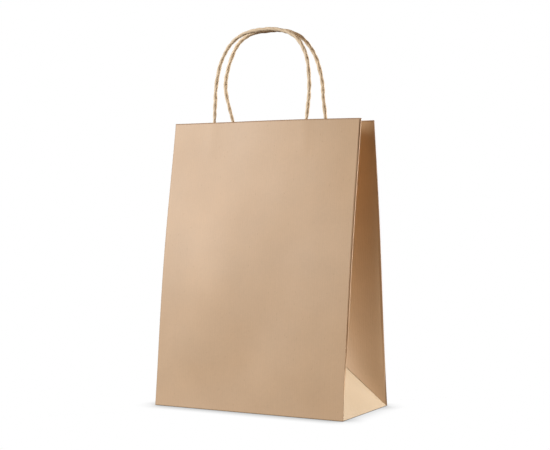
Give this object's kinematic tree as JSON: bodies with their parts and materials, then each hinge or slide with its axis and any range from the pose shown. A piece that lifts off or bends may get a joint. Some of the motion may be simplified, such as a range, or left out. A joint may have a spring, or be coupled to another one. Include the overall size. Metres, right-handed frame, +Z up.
{
  "type": "gift bag",
  "caption": "Folded kraft paper gift bag with a block bottom, side gussets and two twisted paper-cord handles; its mouth opens and closes and its handles fold outwards.",
  "frame": {"origin": "centre of the base, on the surface it stands on", "axes": "+X to the right along the front panel, +Y from the front panel to the rear panel, +Z up"},
  "size_m": [0.22, 0.115, 0.4032],
  "materials": {
    "kraft_outside": "natural brown kraft paper, smooth machine finish, faint fibres",
    "kraft_inside": "inner side of the same kraft paper, slightly lighter and rougher",
    "patch_paper": "plain kraft strip, matt",
    "cord": "twisted kraft paper cord, matt, with fine fibres"
  },
  "bodies": {
    "base": {"base_flap_rear": "kraft_outside", "base_flap_front": "kraft_outside", "base_tuck_right": "kraft_inside", "base_tuck_left": "kraft_inside"},
    "front_panel": {"front_panel": "kraft_outside", "front_hem": "kraft_inside", "front_patch_backing": "patch_paper", "front_patch_cover": "patch_paper", "front_cord_end_left": "cord", "front_cord_end_right": "cord"},
    "rear_panel": {"rear_panel": "kraft_outside", "rear_hem": "kraft_inside", "side_seam_flap": "kraft_inside", "rear_patch_backing": "patch_paper", "rear_patch_cover": "patch_paper", "rear_cord_end_left": "cord", "rear_cord_end_right": "cord"},
    "right_gusset_front": {"right_gusset_front": "kraft_outside", "right_gusset_front_hem": "kraft_inside"},
    "right_gusset_rear": {"right_gusset_rear": "kraft_outside", "right_gusset_rear_hem": "kraft_inside"},
    "left_gusset_front": {"left_gusset_front": "kraft_outside", "left_gusset_front_hem": "kraft_inside"},
    "left_gusset_rear": {"left_gusset_rear": "kraft_outside", "left_gusset_rear_hem": "kraft_inside"},
    "right_foot": {"right_foot_triangle": "kraft_outside"},
    "left_foot": {"left_foot_triangle": "kraft_outside"},
    "front_neck": {"front_cord_neck_left": "cord", "front_cord_neck_right": "cord"},
    "rear_neck": {"rear_cord_neck_left": "cord", "rear_cord_neck_right": "cord"},
    "front_handle": {"front_cord_loop": "cord"},
    "rear_handle": {"rear_cord_loop": "cord"}
  },
  "joints": [
    {"name": "mouth", "type": "hinge", "parent": "base", "child": "front_panel", "pos_m": [0, -0.0575, 0], "axis": [-1, 0, 0], "range_deg": [-7.4, 2], "stiffness_Nm_per_rad": 0.6},
    {"name": "rear_panel_fold", "type": "hinge", "parent": "base", "child": "rear_panel", "pos_m": [0, 0.0575, 0], "axis": [1, 0, 0], "range_deg": [-7.5, 2.1]},
    {"name": "right_gusset_front_fold", "type": "hinge", "parent": "front_panel", "child": "right_gusset_front", "pos_m": [0.11, -0.0575, 0], "axis": [0.7809, -0.6247, 0], "range_deg": [-9.6, 2.7], "deforming": ["right_gusset_front", "right_gusset_front_hem"]},
    {"name": "right_gusset_rear_fold", "type": "hinge", "parent": "rear_panel", "child": "right_gusset_rear", "pos_m": [0.11, 0.0575, 0], "axis": [-0.7809, -0.6247, 0], "range_deg": [-9.6, 2.7], "deforming": ["right_gusset_rear", "right_gusset_rear_hem"]},
    {"name": "left_gusset_front_fold", "type": "hinge", "parent": "front_panel", "child": "left_gusset_front", "pos_m": [-0.11, -0.0575, 0], "axis": [0.7809, 0.6247, 0], "range_deg": [-9.6, 2.7], "deforming": ["left_gusset_front", "left_gusset_front_hem"]},
    {"name": "left_gusset_rear_fold", "type": "hinge", "parent": "rear_panel", "child": "left_gusset_rear", "pos_m": [-0.11, 0.0575, 0], "axis": [-0.7809, 0.6247, 0], "range_deg": [-9.6, 2.7], "deforming": ["left_gusset_rear", "left_gusset_rear_hem"]},
    {"name": "right_foot_fold", "type": "hinge", "parent": "base", "child": "right_foot", "pos_m": [0.11, 0, 0], "axis": [0, -1, 0], "range_deg": [-6, 1.7]},
    {"name": "left_foot_fold", "type": "hinge", "parent": "base", "child": "left_foot", "pos_m": [-0.11, 0, 0], "axis": [0, 1, 0], "range_deg": [-6, 1.7]},
    {"name": "front_neck_bend", "type": "hinge", "parent": "front_panel", "child": "front_neck", "pos_m": [-0.007, -0.01427, 0.30396], "axis": [-1, 0, 0], "range_deg": [-8.2, 30]},
    {"name": "rear_neck_bend", "type": "hinge", "parent": "rear_panel", "child": "rear_neck", "pos_m": [-0.001, 0.01427, 0.30396], "axis": [1, 0, 0], "range_deg": [-8.2, 30]},
    {"name": "front_handle_swing", "type": "hinge", "parent": "front_neck", "child": "front_handle", "pos_m": [-0.007, -0.01331, 0.31592], "axis": [1, 0, 0], "range_deg": [0, 120], "stiffness_Nm_per_rad": 0.01},
    {"name": "rear_handle_swing", "type": "hinge", "parent": "rear_neck", "child": "rear_handle", "pos_m": [-0.001, 0.01272, 0.31586], "axis": [-1, 0, 0], "range_deg": [0, 120], "stiffness_Nm_per_rad": 0.01}
  ],
  "couplings": [
    {"joint": "rear_panel_fold", "follows": "mouth", "ratio": 1},
    {"joint": "right_gusset_front_fold", "follows": "mouth", "ratio": 1.2806},
    {"joint": "right_gusset_rear_fold", "follows": "mouth", "ratio": 1.2806},
    {"joint": "left_gusset_front_fold", "follows": "mouth", "ratio": 1.2806},
    {"joint": "left_gusset_rear_fold", "follows": "mouth", "ratio": 1.2806},
    {"joint": "right_foot_fold", "follows": "mouth", "ratio": 0.8},
    {"joint": "left_foot_fold", "follows": "mouth", "ratio": 0.8},
    {"joint": "front_neck_bend", "follows": "mouth", "ratio": -4},
    {"joint": "rear_neck_bend", "follows": "mouth", "ratio": -4}
  ]
}
